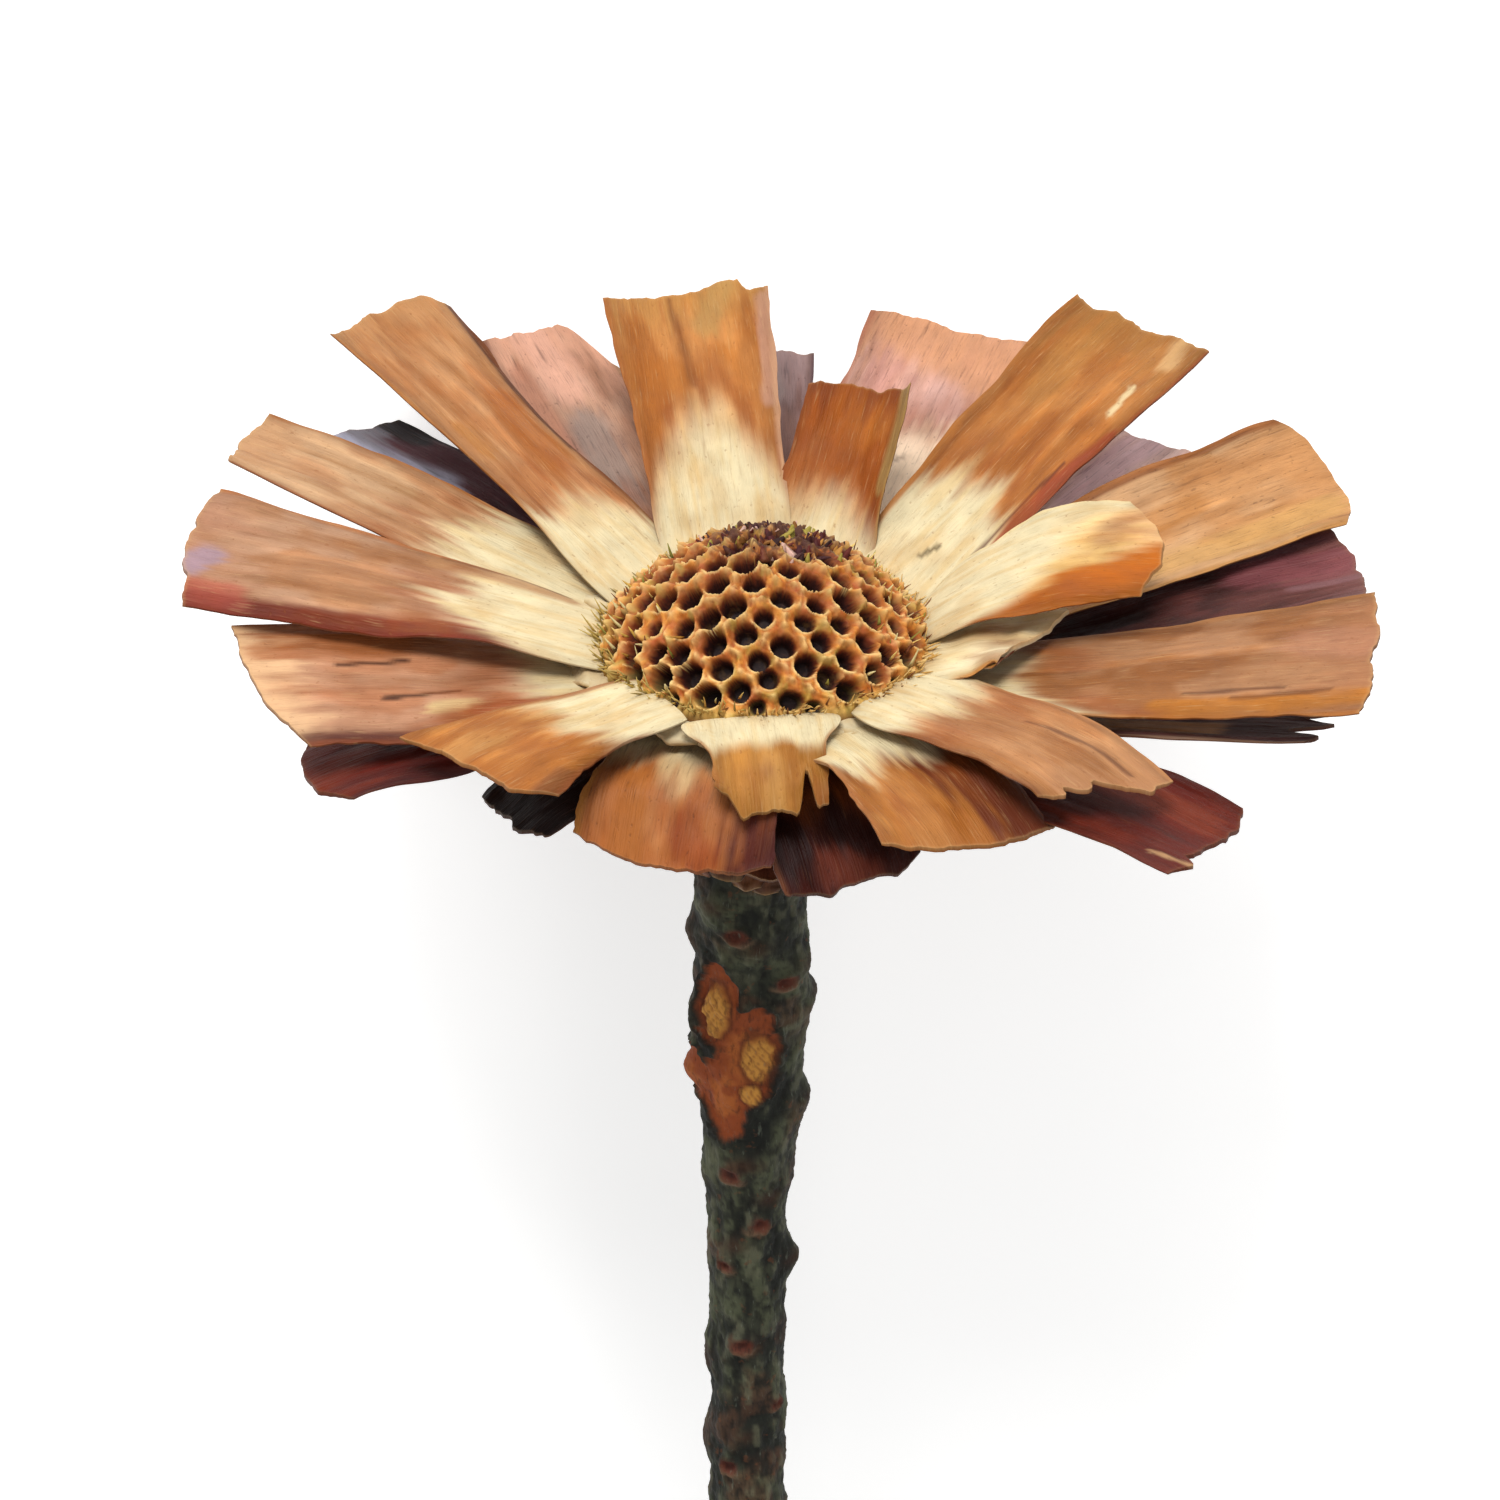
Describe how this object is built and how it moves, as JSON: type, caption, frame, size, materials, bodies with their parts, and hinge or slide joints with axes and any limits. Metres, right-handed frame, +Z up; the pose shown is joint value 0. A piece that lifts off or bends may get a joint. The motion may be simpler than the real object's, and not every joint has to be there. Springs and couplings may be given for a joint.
{
  "type": "dried protea flower head on a stem",
  "caption": "Opened, dried protea flower: woody bracts in rows round a pitted seed disc, on a cut woody stem, lying on its side.",
  "frame": {"origin": "middle of the bounding box's footprint, on the surface that the flower lies on", "axes": "+Z up from that surface; +Y along the stem towards the head, level; +X to the right of the head as the camera shows it"},
  "size_m": [0.1054, 0.2716, 0.0789],
  "materials": {
    "stem_bark": "dry, streaked grey-green bark with red-brown scars",
    "seed_disc": "matt golden-brown, with dark pits",
    "basal_scales": "matt, dark brown",
    "inner_bract": "dry and fibrous, cream at the foot and tan to orange-brown outside, faint sheen",
    "outer_bract": "dry and leathery, tan to mahogany and purple-grey, faint sheen",
    "lower_bract": "dry and fibrous, dark red-brown"
  },
  "bodies": {
    "root": {"stem": "stem_bark", "seed_disc": "seed_disc", "basal_scales": "basal_scales", "inner_bract_1": "inner_bract", "inner_bract_2": "inner_bract", "inner_bract_3": "inner_bract", "inner_bract_4": "inner_bract", "inner_bract_5": "inner_bract", "inner_bract_6": "inner_bract", "inner_bract_7": "inner_bract", "inner_bract_8": "inner_bract", "inner_bract_9": "inner_bract", "inner_bract_10": "inner_bract", "inner_bract_11": "inner_bract", "inner_bract_12": "inner_bract", "inner_bract_13": "inner_bract", "inner_bract_14": "inner_bract", "outer_bract_1": "outer_bract", "outer_bract_2": "outer_bract", "outer_bract_3": "outer_bract", "outer_bract_4": "outer_bract", "outer_bract_5": "outer_bract", "outer_bract_6": "outer_bract", "outer_bract_7": "outer_bract", "outer_bract_8": "outer_bract", "outer_bract_9": "outer_bract", "outer_bract_10": "outer_bract", "outer_bract_11": "outer_bract", "outer_bract_12": "outer_bract", "outer_bract_13": "outer_bract", "lower_bract_1": "lower_bract", "lower_bract_2": "lower_bract", "lower_bract_3": "lower_bract", "lower_bract_4": "lower_bract", "lower_bract_5": "lower_bract", "lower_bract_6": "lower_bract", "lower_bract_7": "lower_bract", "lower_bract_8": "lower_bract", "lower_bract_9": "lower_bract", "lower_bract_10": "lower_bract"}
  },
  "joints": []
}
